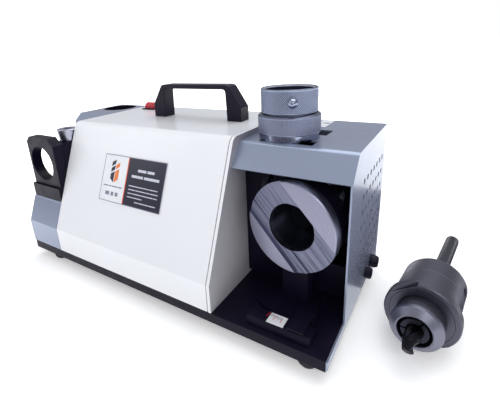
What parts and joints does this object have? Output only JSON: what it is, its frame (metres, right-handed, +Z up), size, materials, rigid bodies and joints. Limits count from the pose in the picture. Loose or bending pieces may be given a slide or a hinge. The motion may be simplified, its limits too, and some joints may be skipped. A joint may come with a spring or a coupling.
{
  "type": "drill bit sharpener",
  "caption": "Bench drill bit sharpener: sloped sheet-metal housing on a base plate, chuck ports, a knurled setting gauge, a carrying handle and a loose collet chuck.",
  "frame": {"origin": "under the middle of the whole object, on the bench, with the loose chuck lying beside the machine", "axes": "+Z up; +X to the right of someone standing in front of the machine, along its length; +Y towards the back"},
  "size_m": [0.4876, 0.2268, 0.2176],
  "materials": {
    "silver_paint": "satin silver-blue powder coat",
    "white_paint": "glossy white enamel",
    "pale_paint": "satin pale grey enamel",
    "black_paint": "satin black powder coat",
    "black_plastic": "fine-grained black plastic",
    "red_plastic": "glossy red",
    "foot_rubber": "matte rubber",
    "label_film": "printed film",
    "bright_steel": "turned and knurled steel",
    "dark_steel": "blackened turned steel",
    "drill_steel": "ground high-speed steel",
    "aluminium": "machined",
    "abrasive_grit": "steel rim plated with dark abrasive grit"
  },
  "bodies": {
    "machine_base": {"base_plate": "black_paint", "white_cover": "white_paint", "bay_liner": "pale_paint", "right_housing": "silver_paint", "rear_panel": "silver_paint", "left_lower_housing": "silver_paint", "left_upper_housing": "silver_paint", "bay_back_plate": "black_paint", "carry_handle": "black_plastic", "switch_bezel": "black_plastic", "front_label": "label_film", "rating_plate": "label_film", "swivel_pin": "bright_steel", "scale_block": "black_paint", "angle_scale_plate": "aluminium", "gauge_tray": "black_paint", "gauge_sleeve": "bright_steel", "gauge_flange": "bright_steel", "relief_port": "black_paint", "thinning_port_block": "black_paint", "thinning_port_base": "black_paint", "thinning_arm": "black_paint", "motor_can": "black_paint", "motor_bell_left": "aluminium", "motor_bell_right": "aluminium", "bearing_left": "bright_steel", "bearing_right": "bright_steel", "motor_saddle": "black_paint", "wheel_guard": "black_paint", "capacitor": "aluminium", "cable_gland": "black_plastic", "fuse_holder": "black_plastic", "foot_front_left": "foot_rubber", "foot_front_right": "foot_rubber", "foot_rear_left": "foot_rubber", "foot_rear_right": "foot_rubber"},
    "rotor": {"rotor_shaft": "bright_steel", "cooling_fan": "black_plastic", "grinding_wheel_hub": "aluminium", "grinding_wheel_rim": "abrasive_grit", "grinding_wheel_nut": "dark_steel", "thinning_wheel_hub": "aluminium", "thinning_wheel_rim": "abrasive_grit", "thinning_wheel_nut": "dark_steel"},
    "front_port": {"port_disc": "bright_steel", "port_sleeve": "bright_steel", "port_barrel": "black_paint", "port_post": "black_paint", "swivel_table": "black_paint", "angle_pointer": "dark_steel"},
    "power_rocker": {"switch_rocker": "red_plastic"},
    "lower_ring": {"gauge_lower_ring": "bright_steel"},
    "upper_ring": {"gauge_upper_ring": "bright_steel", "gauge_pin": "bright_steel"},
    "depth_knob": {"thinning_knob": "bright_steel"},
    "chuck": {"chuck_body": "dark_steel", "index_flange": "dark_steel", "collet": "bright_steel", "drill_bit": "drill_steel"},
    "chuck_nut": {"collet_nut": "dark_steel"}
  },
  "joints": [
    {"name": "rotor_spin", "type": "hinge", "parent": "machine_base", "child": "rotor", "pos_m": [-0.04385, 0.01461, 0.104], "axis": [1, 0, 0], "continuous": true},
    {"name": "front_port_swivel", "type": "hinge", "parent": "machine_base", "child": "front_port", "pos_m": [0.11285, -0.02939, 0.052], "axis": [0, 0, 1], "range_deg": [-14, 5.5]},
    {"name": "power_rock", "type": "hinge", "parent": "machine_base", "child": "power_rocker", "pos_m": [-0.15635, 0.05162, 0.179], "axis": [1, 0, 0], "range_deg": [0, 10]},
    {"name": "lower_ring_turn", "type": "hinge", "parent": "machine_base", "child": "lower_ring", "pos_m": [0.08355, -0.01768, 0.186], "axis": [0, 0, 1], "range_deg": [-180, 180]},
    {"name": "upper_ring_turn", "type": "hinge", "parent": "machine_base", "child": "upper_ring", "pos_m": [0.08355, -0.01768, 0.206], "axis": [0, 0, 1], "range_deg": [-45, 45]},
    {"name": "depth_knob_turn", "type": "hinge", "parent": "machine_base", "child": "depth_knob", "pos_m": [-0.19845, -0.06438, 0.161], "axis": [0, 0, 1], "range_deg": [-180, 180]},
    {"name": "chuck_lift", "type": "slide", "parent": "machine_base", "child": "chuck", "axis": [0, 0, 1], "range_m": [0, 0.15]},
    {"name": "chuck_nut_turn", "type": "hinge", "parent": "chuck", "child": "chuck_nut", "pos_m": [0.20815, -0.05788, 0.03], "axis": [0.1253, 0.9921, 0], "continuous": true}
  ]
}
